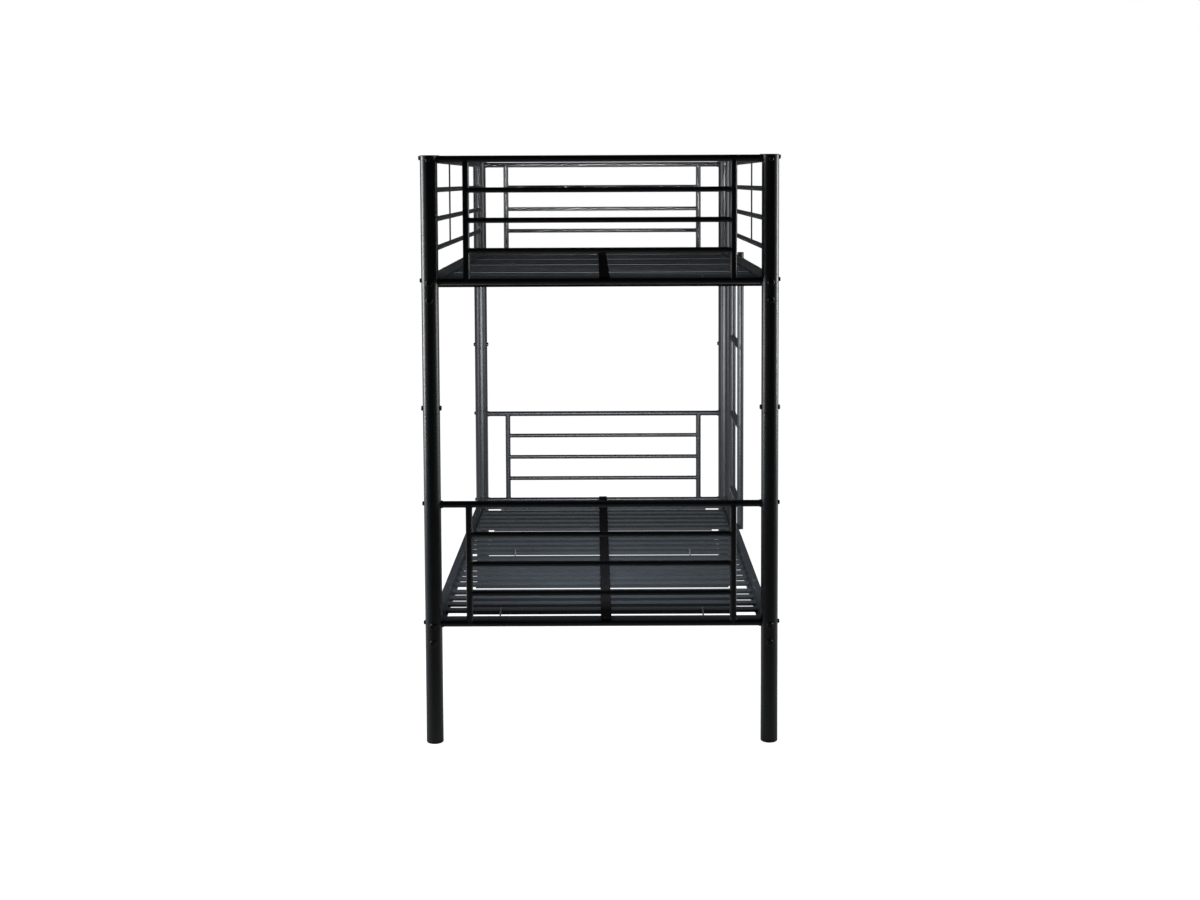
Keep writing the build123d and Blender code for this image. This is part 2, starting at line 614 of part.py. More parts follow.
# ---------------------------------------------------------------- guards
def make_guards(nodes, caps, bolts, inserts):
    """Guard rails of the upper bed: full length on the left, short on the right."""
    deck_z = UPPER_DECK_Z
    top_z = deck_z + PANEL_HEIGHT
    foot_z = deck_z + SIDE_RAIL_TOP
    lowest = bar_places(deck_z)[-1]
    start = rail_end - half_y
    foot_upright_y = GUARD_UPRIGHT_INSET - half_y
    strips = []
    for side, sign in sides.items():
        x = sign * half_x
        if side == "left":
            stop = half_y - rail_end
            head_upright_y = half_y - GUARD_UPRIGHT_INSET
        else:
            stop = guard_end_y + rail_r
            head_upright_y = guard_end_y
            caps.append(Location((x, stop, top_z), (-90, 0, 0)) * tube_cap(rail_r, RAIL_WALL))
        rail_core = rod("Y", start, stop, x, top_z, rail_r)
        uprights = []
        upright_cores = []
        for y in (foot_upright_y, head_upright_y):
            uprights.append(pipe("Z", foot_z, top_z, x, y, rail_r, RAIL_WALL) - rail_core)
            upright_cores.append(rod("Z", foot_z, top_z, x, y, rail_r))
            foot_plug = rod("Z", foot_z, foot_z + INSERT_LENGTH, x, y, rail_r - RAIL_WALL)
            foot_plug -= rod("Z", foot_z, foot_z + INSERT_LENGTH, x, y, BOLT_DIA / 2)
            inserts.append(foot_plug)
            bolt = flat_seat_bolt(SIDE_RAIL_HEIGHT + INSERT_LENGTH - SHANK_SHORT)
            bolts.append(Location((x, y, foot_z - SIDE_RAIL_HEIGHT), (0, 90, 0)) * bolt)
        bars = []
        bar_cores = [rail_core]
        for z in bar_places(deck_z):
            bar = pipe("Y", foot_upright_y, head_upright_y, x, z, bar_r, BAR_WALL)
            bars.append(bar - upright_cores)
            bar_cores.append(rod("Y", foot_upright_y, head_upright_y, x, z, bar_r))
        for y in strip_places(head_upright_y):
            strip = block(x - STRIP_THICKNESS / 2, x + STRIP_THICKNESS / 2,
                          y - STRIP_WIDTH / 2, y + STRIP_WIDTH / 2, lowest, top_z)
            strips.append(strip - bar_cores)
        nodes[f"guard_{side}_rail"] = pipe("Y", start, stop, x, top_z, rail_r, RAIL_WALL)
        nodes[f"guard_{side}_uprights"] = uprights
        nodes[f"guard_{side}_bars"] = bars
    nodes["guard_strips"] = strips


def flat_seat_bolt(shank_length):
    """Socket button bolt along +X on a flat seat at x = 0."""
    head = rod("X", 0, RUNG_HEAD_HEIGHT, 0, 0, RUNG_HEAD_DIA / 2)
    rim = head.edges().filter_by(GeomType.CIRCLE).sort_by(Axis.X)[-1]
    head = fillet(rim, RUNG_HEAD_HEIGHT * HEAD_ROUNDING)
    floor_x = RUNG_HEAD_HEIGHT * (1 - SOCKET_DEPTH)
    socket = extrude(RegularPolygon(RUNG_HEAD_DIA * SOCKET_SIZE, 6), RUNG_HEAD_HEIGHT)
    head -= Location((floor_x, 0, 0), (0, 90, 0)) * socket
    return head + rod("X", -shank_length, floor_x / 2, 0, 0, BOLT_DIA / 2)


def tube_cap(radius, wall, depth=TUBE_CAP_PLUG):
    """Plastic end cap of a tube, pointing up from the tube's end at z = 0."""
    disc = Cylinder(radius, TUBE_CAP_HEIGHT, align=UP)
    disc = fillet(disc.edges().sort_by(Axis.Z)[-1], TUBE_CAP_HEIGHT * 0.5)
    return disc + pipe("Z", -depth, 0, 0, 0, radius - wall, TUBE_CAP_WALL)


# ---------------------------------------------------------------- ladder
def make_ladder(nodes, caps, bolts, inserts):
    """Two stiles and three rungs, bolted together and to both right side rails."""
    low = ladder_bottom_z + TUBE_CAP_HEIGHT
    high = ladder_top_z - TUBE_CAP_HEIGHT
    inner_r = ladder_r - LADDER_WALL
    clear_r = (BOLT_DIA + BOLT_CLEARANCE) / 2
    rung_bolt = button_bolt(RUNG_HEAD_DIA, RUNG_HEAD_HEIGHT, BOLT_DIA,
                            LADDER_DIA + INSERT_LENGTH - SHANK_SHORT, ladder_r)
    mount_bolt = flat_seat_bolt(SIDE_RAIL_WIDTH + LADDER_DIA - 2 * SHANK_SHORT)
    nut_half = BOLT_DIA
    low_room = LOWER_DECK_Z + ladder_bolt_lift - nut_half - NUT_CLEARANCE - low
    high_room = high - UPPER_DECK_Z - ladder_bolt_lift - nut_half - NUT_CLEARANCE
    low_cap = tube_cap(ladder_r, LADDER_WALL, low_room)
    high_cap = tube_cap(ladder_r, LADDER_WALL, high_room)
    stile_cores = []
    for name, y in stile_places.items():
        stile = pipe("Z", low, high, stile_x, y, ladder_r, LADDER_WALL)
        outward = -90 if name == "foot_side" else 90
        for z in rung_places:
            stile -= rod("Y", y - LADDER_DIA, y + LADDER_DIA, stile_x, z, clear_r)
            bolts.append(at_post(rung_bolt, stile_x, y, z, outward, ladder_r))
            end_plug = rod("X", ladder_r, ladder_r + INSERT_LENGTH, 0, 0, inner_r)
            end_plug -= rod("X", ladder_r, ladder_r + INSERT_LENGTH, 0, 0, BOLT_DIA / 2)
            inserts.append(Location((stile_x, y, z), (0, 0, outward + 180)) * end_plug)
        for deck_z in decks.values():
            z = deck_z + ladder_bolt_lift
            stile -= rod("X", side_rail_outer, stile_x, y, z, BOLT_DIA / 2)
            bolts.append(Location((side_rail_inner, y, z), (0, 0, 180)) * mount_bolt)
            nut = rod("Z", z - nut_half, z + nut_half, stile_x, y, inner_r)
            nut -= rod("X", side_rail_outer, stile_x + ladder_r, y, z, BOLT_DIA / 2)
            inserts.append(nut)
        nodes[f"ladder_stile_{name}"] = stile
        stile_cores.append(rod("Z", low, high, stile_x, y, ladder_r))
        caps.append(Location((stile_x, y, high)) * high_cap)
        caps.append(Location((stile_x, y, low), (180, 0, 0)) * low_cap)
    rungs = []
    for z in rung_places:
        rung = pipe("Y", stile_places["foot_side"], stile_places["head_side"], stile_x, z,
                    ladder_r, LADDER_WALL)
        rungs.append(rung - stile_cores)
    nodes["ladder_rungs"] = rungs


# ---------------------------------------------------------------- post joints, spare holes
def make_joint_bolts(nodes):
    """Bolt and sleeve nut through each upper seam's joiner."""
    bolts = []
    nuts = []
    reach = POST_DIA * JOINT_BOLT_SHARE
    bolt = button_bolt(JOINT_HEAD_DIA, HEAD_HEIGHT, BIG_BOLT_DIA, reach, post_r)
    nut = button_bolt(JOINT_HEAD_DIA, HEAD_HEIGHT, BIG_BOLT_DIA, POST_DIA - reach, post_r)
    for _, x, y in corner_list():
        outward = 0 if x > 0 else 180
        bolts.append(at_post(bolt, x, y, joint_bolt_z, outward))
        nuts.append(at_post(nut, x, y, joint_bolt_z, outward + 180))
    nodes["joint_bolts"] = bolts
    nodes["joint_sleeve_nuts"] = nuts


def make_spare_hole_plugs(plugs):
    """The head right post has no guard: plugs close its two guard holes."""
    radius = (BOLT_DIA + BOLT_CLEARANCE) / 2
    z = UPPER_DECK_Z + PANEL_HEIGHT - guard_bolt_drop
    head = rod("X", -post_r * HEAD_SINK, HOLE_PLUG_HEIGHT, 0, 0, BOLT_HEAD_DIA / 2)
    head -= rod("Z", -BOLT_HEAD_DIA, BOLT_HEAD_DIA, -post_r, 0, post_r)
    head += rod("X", -POST_WALL - PLUG_PAST_POST, 0, 0, 0, radius)
    for turn in (-90, 90):
        plugs.append(at_post(head, half_x, half_y, z, turn))


# ---------------------------------------------------------------- the whole bed
def build():
    """All nodes of the bed, by name."""
    nodes = {}
    saddles = []
    inserts = []
    rail_bolts = []
    ladder_bolts = []
    plugs = []
    tube_caps = []
    make_posts(nodes)
    make_end_panels(nodes)
    make_end_rail_fasteners(saddles, inserts, rail_bolts)
    make_side_rails(nodes, plugs)
    make_brackets(nodes)
    make_ledges(nodes)
    make_slats(nodes)
    make_straps(nodes)
    make_guards(nodes, tube_caps, ladder_bolts, inserts)
    make_ladder(nodes, tube_caps, ladder_bolts, inserts)
    make_joint_bolts(nodes)
    make_spare_hole_plugs(plugs)
    nodes["rail_saddles"] = saddles
    nodes["threaded_inserts"] = inserts
    nodes["rail_bolts"] = rail_bolts
    nodes["ladder_bolts"] = ladder_bolts
    nodes["hole_plugs"] = plugs
    nodes["tube_end_caps"] = tube_caps
    return nodes


os.makedirs("parts", exist_ok=True)
for node, shape in build().items():
    export_step(Compound(children=solids_of(shape)), f"parts/{node}.step")
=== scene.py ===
import math

import bmesh
import bpy
from mathutils import Matrix, Vector


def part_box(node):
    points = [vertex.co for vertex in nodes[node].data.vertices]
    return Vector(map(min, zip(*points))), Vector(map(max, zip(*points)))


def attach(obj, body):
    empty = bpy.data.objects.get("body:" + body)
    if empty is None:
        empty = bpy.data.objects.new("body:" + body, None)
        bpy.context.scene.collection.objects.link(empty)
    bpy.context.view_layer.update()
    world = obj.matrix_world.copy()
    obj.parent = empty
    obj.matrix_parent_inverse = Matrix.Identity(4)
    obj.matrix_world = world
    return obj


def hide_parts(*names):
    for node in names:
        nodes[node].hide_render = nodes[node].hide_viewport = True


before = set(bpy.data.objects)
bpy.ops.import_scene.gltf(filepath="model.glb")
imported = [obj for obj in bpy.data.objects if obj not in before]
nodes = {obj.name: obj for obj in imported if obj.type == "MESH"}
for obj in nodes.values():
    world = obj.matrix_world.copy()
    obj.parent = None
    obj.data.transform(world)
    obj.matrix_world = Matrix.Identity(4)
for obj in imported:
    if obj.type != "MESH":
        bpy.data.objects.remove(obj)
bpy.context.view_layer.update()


# ======================================================================================
# Camera: it stands about level with the top guard rails, almost five metres in front of
# the foot end and a little to the right of the middle, and looks slightly down.
# ======================================================================================
post_low, post_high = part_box("post_lower_foot_left")
post_x = -(post_low.x + post_high.x) / 2
post_y = -(post_low.y + post_high.y) / 2

camera_distance = 4.905
camera_side = 0.0254
camera_height = 1.681
camera_tilt = math.radians(4.10)
camera_roll = math.radians(-0.233)

camera_data = bpy.data.cameras.new("camera")
camera_data.sensor_width = 36.0
camera_data.lens = 50.0
camera_data.shift_x = -0.0073
camera_data.shift_y = -0.125
camera_data.clip_start = 0.1
camera_data.clip_end = 100.0
camera = bpy.data.objects.new("camera", camera_data)
camera.location = (camera_side, -post_y - camera_distance, camera_height)
look_down = Matrix.Rotation(math.pi / 2 - camera_tilt, 3, "X")
camera.rotation_euler = (look_down @ Matrix.Rotation(camera_roll, 3, "Z")).to_euler()
scene = bpy.context.scene
scene.collection.objects.link(camera)
scene.camera = camera


# ======================================================================================
# Studio: a plain white floor that is brightest behind the bed, a dim surround, and soft
# boxes beside the bed and between its ends.
# ======================================================================================
def node_tree(owner):
    """An emptied node tree of a material or world."""
    owner.use_nodes = True
    tree = owner.node_tree
    tree.nodes.clear()
    return tree


def add_node(tree, kind, **inputs):
    """A node of that kind, with its named inputs set. Underscores stand for spaces."""
    node = tree.nodes.new(kind)
    for name, value in inputs.items():
        node.inputs[name.replace("_", " ")].default_value = value
    return node


def math_node(tree, operation, a, b=None):
    """A Math node; each operand is a number or another node's output."""
    node = tree.nodes.new("ShaderNodeMath")
    node.operation = operation
    for socket, operand in zip(node.inputs, (a, b)):
        if isinstance(operand, (int, float)):
            socket.default_value = operand
        elif operand is not None:
            tree.links.new(operand, socket)
    return node.outputs[0]


scene.view_settings.view_transform = "Standard"
scene.view_settings.look = "None"

# The surround is white where the camera sees it. As a light it is dim, and brighter
# behind the head end (+Y) than behind the camera.
world = bpy.data.worlds.new("studio")
scene.world = world
tree = node_tree(world)
surround_coordinates = tree.nodes.new("ShaderNodeTexCoord")
surround_split = tree.nodes.new("ShaderNodeSeparateXYZ")
surround_ramp = add_node(tree, "ShaderNodeMapRange", From_Min=-0.5, From_Max=0.9,
                         To_Min=0.015, To_Max=0.07)
surround_light = add_node(tree, "ShaderNodeBackground", Color=(0.93, 0.97, 1.0, 1.0))
surround_white = add_node(tree, "ShaderNodeBackground", Color=(1.0, 1.0, 1.0, 1.0),
                          Strength=1.0)
seen_directly = tree.nodes.new("ShaderNodeLightPath")
surround_mix = tree.nodes.new("ShaderNodeMixShader")
surround_out = tree.nodes.new("ShaderNodeOutputWorld")
tree.links.new(surround_coordinates.outputs["Generated"], surround_split.inputs[0])
tree.links.new(surround_split.outputs["Y"], surround_ramp.inputs["Value"])
tree.links.new(surround_ramp.outputs["Result"], surround_light.inputs["Strength"])
tree.links.new(seen_directly.outputs["Is Camera Ray"], surround_mix.inputs["Fac"])
tree.links.new(surround_light.outputs[0], surround_mix.inputs[1])
tree.links.new(surround_white.outputs[0], surround_mix.inputs[2])
tree.links.new(surround_mix.outputs[0], surround_out.inputs["Surface"])

# The floor looks evenly white, but what it sends up to the bed grows from the foot end
# to the head end, and fades out further back.
floor_radius = 40.0
floor_mesh = bpy.data.meshes.new("floor")
floor_form = bmesh.new()
bmesh.ops.create_circle(floor_form, cap_ends=True, segments=96, radius=floor_radius)
floor_form.to_mesh(floor_mesh)
floor_form.free()
floor = bpy.data.objects.new("floor", floor_mesh)
scene.collection.objects.link(floor)
floor_paint = bpy.data.materials.new("floor_paint")
tree = node_tree(floor_paint)
floor_shader = add_node(tree, "ShaderNodeBsdfPrincipled", Base_Color=(0.25, 0.25, 0.25, 1.0),
                        Roughness=0.9, Emission_Color=(1.0, 1.0, 1.0, 1.0))
floor_seen = tree.nodes.new("ShaderNodeLightPath")
floor_place = tree.nodes.new("ShaderNodeTexCoord")
floor_split = tree.nodes.new("ShaderNodeSeparateXYZ")
floor_bounce = add_node(tree, "ShaderNodeMapRange", From_Min=-1.5, From_Max=1.5,
                        To_Min=0.03, To_Max=0.75)
floor_fade = add_node(tree, "ShaderNodeMapRange", From_Min=3.0, From_Max=6.0,
                      To_Min=1.0, To_Max=0.05)
floor_light = math_node(tree, "MULTIPLY", floor_bounce.outputs["Result"],
                        floor_fade.outputs["Result"])
floor_glow = add_node(tree, "ShaderNodeMapRange", To_Max=1.0)
tree.links.new(floor_place.outputs["Object"], floor_split.inputs[0])
tree.links.new(floor_split.outputs["Y"], floor_bounce.inputs["Value"])
tree.links.new(floor_split.outputs["Y"], floor_fade.inputs["Value"])
tree.links.new(floor_light, floor_glow.inputs["To Min"])
floor_out = tree.nodes.new("ShaderNodeOutputMaterial")
tree.links.new(floor_seen.outputs["Is Camera Ray"], floor_glow.inputs["Value"])
tree.links.new(floor_glow.outputs["Result"], floor_shader.inputs["Emission Strength"])
tree.links.new(floor_shader.outputs[0], floor_out.inputs["Surface"])
floor_mesh.materials.append(floor_paint)


def soft_box(name, place, target, width, height, power, spread=180.0):
    """A rectangular soft light at a place, aimed at a target, and hidden from the camera."""
    light = bpy.data.lights.new(name, "AREA")
    light.shape = "RECTANGLE"
    light.size = width
    light.size_y = height
    light.energy = power
    light.spread = math.radians(spread)
    box = bpy.data.objects.new(name, light)
    box.location = place
    box.rotation_euler = (Vector(target) - Vector(place)).to_track_quat("-Z", "Y").to_euler()
    box.visible_camera = False
    scene.collection.objects.link(box)


soft_box("between_decks", (0.0, -0.8, 0.95), (0.0, post_y, 0.85),
         width=0.9, height=0.7, power=37.0)
soft_box("over_upper_deck", (0.0, -0.8, 1.72), (0.0, post_y, 1.68),
         width=0.8, height=0.06, power=2.6, spread=30.0)
soft_box("left_strip", (-2.6, -post_y + 0.25, 1.5), (-post_x, -post_y, 1.3),
         width=0.5, height=1.9, power=72.0)
soft_box("right_strip", (2.8, -post_y + 0.75, 1.6), (post_x, -post_y, 1.4),
         width=0.4, height=1.8, power=58.0)


# ======================================================================================
# Posts: each is three lengths of round steel tube, stacked end to end. Every tube has a
# semi-gloss black powder coat, which dries with a very fine orange-peel skin.
# ======================================================================================
def noise_on(tree, coordinates, scale, detail):
    """Noise on the object's own coordinates, in lumps of 1 / scale metres."""
    noise = add_node(tree, "ShaderNodeTexNoise", Scale=scale, Detail=detail)
    tree.links.new(coordinates, noise.inputs["Vector"])
    return noise.outputs["Fac"]


patch_scale, patch_detail = 9.0, 4.0       # soft patches of the two colours
gloss_scale, gloss_detail = 60.0, 3.0      # small changes of the gloss
skin_height = 0.0004
skin_detail = 1.0


def coated(name, dark, light, roughness, spread, peel, peel_size,
           metallic=0.0, specular=0.5):
    """A finish of two close colours in soft patches, with a bumpy skin of that lump size."""
    paint = bpy.data.materials.new(name)
    tree = node_tree(paint)
    place = tree.nodes.new("ShaderNodeTexCoord").outputs["Object"]
    colours = tree.nodes.new("ShaderNodeMix")
    colours.data_type = "RGBA"
    colours.inputs["A"].default_value = (*dark, 1.0)
    colours.inputs["B"].default_value = (*light, 1.0)
    tree.links.new(noise_on(tree, place, patch_scale, patch_detail),
                   colours.inputs["Factor"])
    gloss = add_node(tree, "ShaderNodeMapRange", To_Min=roughness - spread,
                     To_Max=roughness + spread)
    tree.links.new(noise_on(tree, place, gloss_scale, gloss_detail), gloss.inputs["Value"])
    skin = add_node(tree, "ShaderNodeBump", Strength=peel, Distance=skin_height)
    tree.links.new(noise_on(tree, place, 1.0 / peel_size, skin_detail),
                   skin.inputs["Height"])
    shader = add_node(tree, "ShaderNodeBsdfPrincipled", Specular_IOR_Level=specular,
                      Metallic=metallic)
    out = tree.nodes.new("ShaderNodeOutputMaterial")
    tree.links.new(colours.outputs["Result"], shader.inputs["Base Color"])
    tree.links.new(gloss.outputs["Result"], shader.inputs["Roughness"])
    tree.links.new(skin.outputs["Normal"], shader.inputs["Normal"])
    tree.links.new(shader.outputs[0], out.inputs["Surface"])
    return paint


def dress(paint, *starts):
    """Gives a finish to every CAD node whose name starts with one of these."""
    for name, node in nodes.items():
        if name.startswith(starts):
            for material_slot in node.material_slots:
                material_slot.material = paint


powder_coat = coated("powder_coat", (0.007, 0.009, 0.012), (0.011, 0.014, 0.018),
                     roughness=0.36, spread=0.04, peel=0.25, peel_size=0.0011)
dress(powder_coat, "post_lower", "post_middles", "post_upper")


# ======================================================================================
# Post joiners: short lengths of thinner steel tube inside the posts, half in each of the
# two tubes that meet. They are bare steel with a dull drawn surface.
# ======================================================================================
plain_steel = coated("plain_steel", (0.36, 0.36, 0.37), (0.46, 0.46, 0.47),
                     roughness=0.42, spread=0.08, peel=0.2, peel_size=0.0008,
                     metallic=1.0)
dress(plain_steel, "post_joiners")


# ======================================================================================
# Feet and post caps: moulded black plastic, with a hollow plug pushed into each post's
# end. The moulded skin is matt, with a fine grain.
# ======================================================================================
moulded_black = coated("moulded_black", (0.008, 0.008, 0.009), (0.012, 0.012, 0.013),
                       roughness=0.55, spread=0.05, peel=0.5, peel_size=0.0006)
dress(moulded_black, "post_feet", "post_caps")


# ======================================================================================
# End panels: two end rails, two uprights and three thin bars of round steel tube, welded
# into one frame and coated as one. There are four, alike.
# ======================================================================================
dress(powder_coat, "foot_", "head_")


# ======================================================================================
# End rail fasteners: a black socket bolt through each post into a threaded steel insert
# in the rail's end, with a black plastic spacer shaped to the post between them.
# ======================================================================================
black_steel = coated("black_steel", (0.006, 0.006, 0.007), (0.012, 0.012, 0.013),
                     roughness=0.3, spread=0.06, peel=0.1, peel_size=0.0005)
dress(black_steel, "rail_bolts")
dress(plain_steel, "threaded_inserts")
dress(moulded_black, "rail_saddles")


# ======================================================================================
# Side rails: rectangular steel tube on curved bracket plates. Two big socket bolts go
# through each post into nuts that are welded behind the plate.
# ======================================================================================
dress(powder_coat, "side_rail_lower", "side_rail_upper", "rail_brackets")
dress(black_steel, "side_rail_bolts")
dress(plain_steel, "side_rail_nuts")


# ======================================================================================
# Ledges: steel angle, welded along the side rails to carry the slats' ends, and a cross
# angle at each end of a deck.
# ======================================================================================
dress(powder_coat, "slat_ledges", "deck_end_angles")


# ======================================================================================
# Slats: roll-formed steel channel with a slightly crowned top, 23 to a deck, and coated
# before they are fitted. Bent wire hooks tie them together across some wide gaps.
# ======================================================================================
slat_coat = coated("slat_coat", (0.012, 0.015, 0.018), (0.018, 0.022, 0.026),
                   roughness=0.38, spread=0.05, peel=0.2, peel_size=0.0014,
                   specular=0.3)
dress(slat_coat, "slats_")
hook_wire = coated("hook_wire", (0.05, 0.055, 0.062), (0.075, 0.08, 0.088),
                   roughness=0.35, spread=0.05, peel=0.1, peel_size=0.0005)
dress(hook_wire, "slat_hooks")


# ======================================================================================
# Deck straps: one band of black woven webbing along the middle of each deck, on top of
# the slats. It climbs onto both end rails, and each end is folded over and sewn twice.
# ======================================================================================
strap_width = 0.032
strap_thickness = 0.0016
strap_edge = 0.0006              # rounding of the woven edge
strap_rise = 0.035               # length of the climb to an end rail
strap_crossing = 0.006           # x of the strap's middle, half way along the deck
strap_drift = 0.008              # sideways drift from there to an end rail
strap_wrap = math.radians(35)    # how far the band goes past the rail's top
hem_length = 0.025
hem_step = 0.0017                # from the band's middle plane to the folded layer's
strap_sag = {"lower": 0.0006, "upper": 0.0016}
flat_step = 0.006                # the line's longest step between two slats, about
climb_steps, wrap_steps, fold_steps = 8, 12, 6

deck_slats = 23
slat_pitch = 0.0762
wide_gap_extra = 0.0254
wide_gaps_after = (1, 5, 11, 16, 21)
slat_half_width = 0.02
end_rail_low, end_rail_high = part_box("foot_lower_deck_rail")
end_rail_radius = (end_rail_high.z - end_rail_low.z) / 2


def slat_middles(level):
    """Middles of a deck's slats along Y, from the foot end."""
    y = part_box(f"slats_{level}")[0].y + slat_half_width
    middles = [y]
    for number in range(1, deck_slats):
        y += slat_pitch + (wide_gap_extra if number in wide_gaps_after else 0.0)
        middles.append(y)
    return middles


def rail_end_line(rail_z, slat_top):
    """The strap's (y, z) line from its last flat point, up to the head rail and over it."""
    lift = slat_top + strap_thickness / 2 - rail_z
    reach = -strap_rise - end_rail_radius
    bend = end_rail_radius + strap_thickness / 2
    first = math.atan2(lift, reach) - math.acos(bend / math.hypot(lift, reach))
    last = math.pi / 2 - strap_wrap
    line = [(post_y + reach, rail_z + lift)]
    touch = (post_y + bend * math.cos(first), rail_z + bend * math.sin(first))
    for step in range(1, climb_steps + 1):
        line.append(tuple(a + (b - a) * step / climb_steps for a, b in zip(line[0], touch)))
    for step in range(1, wrap_steps + 1):
        turn = first + (last - first) * step / wrap_steps
        line.append((post_y + bend * math.cos(turn), rail_z + bend * math.sin(turn)))
    return line


def offset_line(line, step):
    """The same (y, z) line, moved sideways to its upper side."""
    moved = []
    for index, (y, z) in enumerate(line):
        before = line[max(index - 1, 0)]
        after = line[min(index + 1, len(line) - 1)]
        along = Vector((after[0] - before[0], after[1] - before[1])).normalized()
        moved.append((y - along.y * step, z + along.x * step))
    return moved


def last_part(line, length):
    """The end of a (y, z) line, of that length, from its last point backwards."""
    part = [line[-1]]
    for y, z in reversed(line[:-1]):
        gap = math.dist(part[-1], (y, z))
        if gap > length:
            share = length / gap
            part.append((part[-1][0] + (y - part[-1][0]) * share,
                         part[-1][1] + (z - part[-1][1]) * share))
            return part
        part.append((y, z))
        length -= gap
    return part


def strap_side_view(level):
    """The (y, z) line of a whole strap's middle plane, hems included, and the part of it
    that climbs onto the head rail."""
    rail_low, rail_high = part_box(f"foot_{level}_deck_rail")
    rail_z = (rail_low.z + rail_high.z) / 2
    slat_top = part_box(f"slats_{level}")[1].z
    over_rail = rail_end_line(rail_z, slat_top)
    hem = offset_line(over_rail, hem_step)
    fold_in, fold_out = Vector(over_rail[-1]), Vector(hem[-1])
    outward = (Vector(over_rail[-1]) - Vector(over_rail[-2])).normalized()
    fold = []
    for step in range(1, fold_steps):
        turn = math.pi * step / fold_steps
        spot = (fold_in + fold_out) / 2 + (fold_in - fold_out) / 2 * math.cos(turn)
        fold.append(tuple(spot + outward * (hem_step / 2 * math.sin(turn))))
    head_end = over_rail + fold + last_part(hem, hem_length)
    foot_end = [(-y, z) for y, z in reversed(head_end)]
    flat_reach = post_y - strap_rise - end_rail_radius
    middles = [y for y in slat_middles(level) if abs(y) < flat_reach]
    rests = [foot_end[-1][0]] + middles + [head_end[0][0]]
    flat = []
    for start, stop in zip(rests, rests[1:]):
        steps = max(2, round((stop - start) / flat_step))
        for step in range(steps):
            share = step / steps
            dip = strap_sag[level] * (1 - math.cos(2 * math.pi * share)) / 2
            flat.append((start + (stop - start) * share,
                         slat_top + strap_thickness / 2 - dip))
    return foot_end[:-1] + flat + head_end, over_rail


def strap_place(y, z):
    """A point of the strap's middle line, with its sideways drift."""
    return Vector((strap_crossing - strap_drift * y / post_y, y, z))


strap_across = Vector((post_y, strap_drift, 0.0)).normalized()


def webbing(name, line):
    """A closed band along a line of points, and its length. Its UV map is in metres."""
    half = strap_width / 2
    thick = strap_thickness / 2
    inner = half - strap_edge
    section = [(-inner, thick), (-half / 2, thick), (0.0, thick), (half / 2, thick),
               (inner, thick), (half, 0.0), (inner, -thick), (0.0, -thick), (-inner, -thick),
               (-half, 0.0)]
    form = bmesh.new()
    uv = form.loops.layers.uv.new("weave")
    rings = []
    along = [0.0]
    for index, spot in enumerate(line):
        before = line[max(index - 1, 0)]
        after = line[min(index + 1, len(line) - 1)]
        above = strap_across.cross((after - before).normalized())
        rings.append([form.verts.new(spot + strap_across * across + above * up)
                      for across, up in section])
        if index > 0:
            along.append(along[-1] + (spot - before).length)
    for index in range(len(rings) - 1):
        for a in range(len(section)):
            b = (a + 1) % len(section)
            face = form.faces.new((rings[index][a], rings[index][b], rings[index + 1][b],
                                   rings[index + 1][a]))
            face.smooth = True
            corners = ((index, a), (index, b), (index + 1, b), (index + 1, a))
            for loop, (row, column) in zip(face.loops, corners):
                loop[uv].uv = (along[row], section[column][0])
    form.faces.new(rings[0])
    form.faces.new(rings[-1])
    bmesh.ops.recalc_face_normals(form, faces=form.faces)
    mesh = bpy.data.meshes.new(name)
    form.to_mesh(mesh)
    form.free()
    band = bpy.data.objects.new(name, mesh)
    scene.collection.objects.link(band)
    return band, along[-1]


yarn_width = 0.0016
pick_length = 0.0034             # of one over and under along the band
woven_black = bpy.data.materials.new("woven_black")
tree = node_tree(woven_black)
weave_uv = tree.nodes.new("ShaderNodeUVMap")
weave_uv.uv_map = "weave"
weave_split = tree.nodes.new("ShaderNodeSeparateXYZ")
tree.links.new(weave_uv.outputs[0], weave_split.inputs[0])
yarn_number = math_node(tree, "DIVIDE", weave_split.outputs["Y"], yarn_width)
yarn_phase = math_node(tree, "MULTIPLY", math_node(tree, "FLOOR", yarn_number), math.pi)
pick_angle = math_node(tree, "MULTIPLY", weave_split.outputs["X"], 2 * math.pi / pick_length)
over_under = math_node(tree, "SINE", math_node(tree, "ADD", pick_angle, yarn_phase))
over_under = math_node(tree, "MULTIPLY_ADD", over_under, 0.5)
yarn_round = math_node(tree, "ABSOLUTE", math_node(
    tree, "SINE", math_node(tree, "MULTIPLY", yarn_number, math.pi)))
weave_height = math_node(tree, "MULTIPLY", over_under, yarn_round)
# The weave's low parts and the grooves between its yarns are painted darker than the raised
# yarn. This is painted shade in the weave's hollows; the yarn itself is one black.
weave_painted_shade = tree.nodes.new("ShaderNodeMix")
weave_painted_shade.data_type = "RGBA"
weave_painted_shade.inputs["A"].default_value = (0.0012, 0.0012, 0.0014, 1.0)
weave_painted_shade.inputs["B"].default_value = (0.006, 0.006, 0.007, 1.0)
weave_bump = add_node(tree, "ShaderNodeBump", Strength=0.6, Distance=0.0003)
weave_shader = add_node(tree, "ShaderNodeBsdfPrincipled", Roughness=0.85,
                        Specular_IOR_Level=0.03)
weave_out = tree.nodes.new("ShaderNodeOutputMaterial")
tree.links.new(weave_height, weave_painted_shade.inputs["Factor"])
tree.links.new(weave_height, weave_bump.inputs["Height"])
tree.links.new(weave_painted_shade.outputs["Result"], weave_shader.inputs["Base Color"])
tree.links.new(weave_bump.outputs["Normal"], weave_shader.inputs["Normal"])
tree.links.new(weave_shader.outputs[0], weave_out.inputs["Surface"])

sewing_thread = coated("sewing_thread", (0.02, 0.02, 0.022), (0.035, 0.035, 0.038),
                       roughness=0.5, spread=0.05, peel=0.3, peel_size=0.0003)


